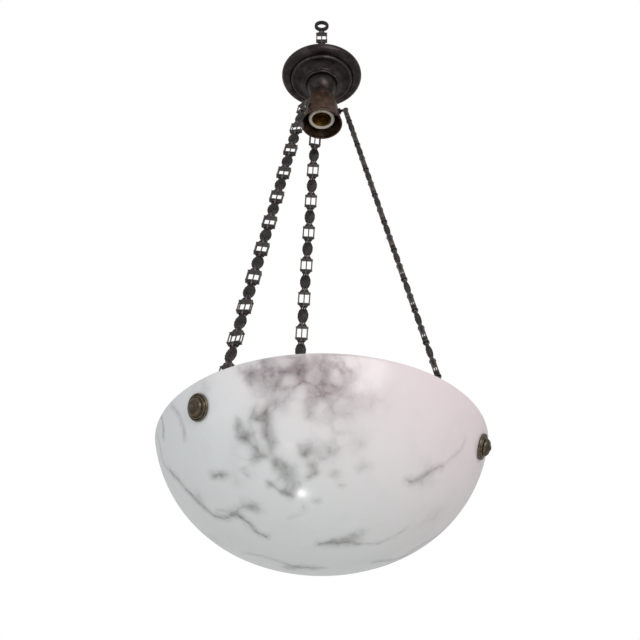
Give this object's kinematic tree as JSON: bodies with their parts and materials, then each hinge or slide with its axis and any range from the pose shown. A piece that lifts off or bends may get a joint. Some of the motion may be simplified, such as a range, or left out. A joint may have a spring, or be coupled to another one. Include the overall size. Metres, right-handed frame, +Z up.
{
  "type": "alabaster bowl pendant",
  "caption": "Ceiling pendant with a veined alabaster bowl hung on three ornamental chains from a turned canopy and a bell-shaped lampholder cover.",
  "frame": {"origin": "centre of the ceiling eye's bore, where the pendant hangs from its ceiling hook", "axes": "+Z up along the pendant's axis, +Y along the ceiling eye's bore, away from the pictured side"},
  "size_m": [0.3791, 0.379, 0.8963],
  "materials": {
    "alabaster": "polished white alabaster with grey and mauve veins, opaque",
    "porcelain": "glazed white porcelain, opaque",
    "felt": "thin dark felt",
    "bright_brass": "plain brass, slightly dulled",
    "steel": "plated steel",
    "aged_brass": "aged brass, brown in the hollows and worn on the edges",
    "copper_bronze": "brown bronze patina",
    "dark_bronze": "dark bronze patina"
  },
  "bodies": {
    "ceiling_eye": {"ceiling_eye": "dark_bronze"},
    "top_link": {"top_lantern_link_upper": "dark_bronze"},
    "pendant": {"top_leaf_link_upper": "dark_bronze", "top_lantern_link_lower": "dark_bronze", "top_leaf_link_lower": "dark_bronze", "loop_stem": "dark_bronze", "lampholder_cover": "copper_bronze", "cover_lock_nut": "bright_brass", "left_chain_lug": "dark_bronze", "right_chain_lug": "dark_bronze", "far_chain_lug": "dark_bronze", "lug_nuts": "steel", "holder_dome": "bright_brass", "holder_set_screw": "steel", "porcelain_sleeve": "porcelain", "terminal_insert": "porcelain", "screw_shell": "bright_brass", "centre_contact": "bright_brass", "terminal_blocks": "bright_brass", "terminal_screws": "steel"},
    "canopy": {"canopy": "dark_bronze"},
    "bowl": {"alabaster_bowl": "alabaster", "left_eye_bolt": "aged_brass", "right_eye_bolt": "aged_brass", "far_eye_bolt": "aged_brass", "left_rosette": "aged_brass", "right_rosette": "aged_brass", "far_rosette": "aged_brass", "outer_felt_washers": "felt", "inner_felt_washers": "felt", "inner_disc_washers": "aged_brass", "eye_bolt_nuts": "steel", "rosette_knob_nuts": "aged_brass"},
    "left_chain": {"left_chain_top_link": "dark_bronze", "left_chain_lantern_links": "dark_bronze", "left_chain_leaf_links": "dark_bronze", "left_chain_end_link": "dark_bronze"},
    "right_chain": {"right_chain_top_link": "dark_bronze", "right_chain_lantern_links": "dark_bronze", "right_chain_leaf_links": "dark_bronze", "right_chain_end_link": "dark_bronze"},
    "far_chain": {"far_chain_top_link": "dark_bronze", "far_chain_lantern_links": "dark_bronze", "far_chain_leaf_links": "dark_bronze", "far_chain_end_link": "dark_bronze"}
  },
  "joints": [
    {"name": "hook_swing_side", "type": "hinge", "parent": "ceiling_eye", "child": "top_link", "pos_m": [0, 0, -0.0139], "axis": [0, 1, 0], "range_deg": [-20, 20]},
    {"name": "hook_swing_front", "type": "hinge", "parent": "top_link", "child": "pendant", "pos_m": [0, 0, -0.03965], "axis": [1, 0, 0], "range_deg": [-20, 20]},
    {"name": "canopy_slide", "type": "slide", "parent": "pendant", "child": "canopy", "axis": [0, 0, 1], "range_m": [0, 0.085]},
    {"name": "bowl_twist", "type": "hinge", "parent": "pendant", "child": "bowl", "pos_m": [0, 0, -0.7487], "axis": [0, 0, 1], "range_deg": [-6, 6]},
    {"name": "left_chain_swing", "type": "hinge", "parent": "pendant", "child": "left_chain", "pos_m": [-0.02488, -0.02532, -0.20175], "axis": [-0.6847, -0.6968, 0.2138], "range_deg": [-1.8, 1.8]},
    {"name": "right_chain_swing", "type": "hinge", "parent": "pendant", "child": "right_chain", "pos_m": [0.03419, -0.00955, -0.20175], "axis": [0.9409, -0.2627, 0.2138], "range_deg": [-1.8, 1.8]},
    {"name": "far_chain_swing", "type": "hinge", "parent": "pendant", "child": "far_chain", "pos_m": [-0.00913, 0.03431, -0.20175], "axis": [-0.2512, 0.944, 0.2138], "range_deg": [-1.8, 1.8]}
  ],
  "couplings": [
    {"joint": "left_chain_swing", "follows": "bowl_twist", "ratio": 0.2756},
    {"joint": "right_chain_swing", "follows": "bowl_twist", "ratio": 0.2756},
    {"joint": "far_chain_swing", "follows": "bowl_twist", "ratio": 0.2756}
  ]
}
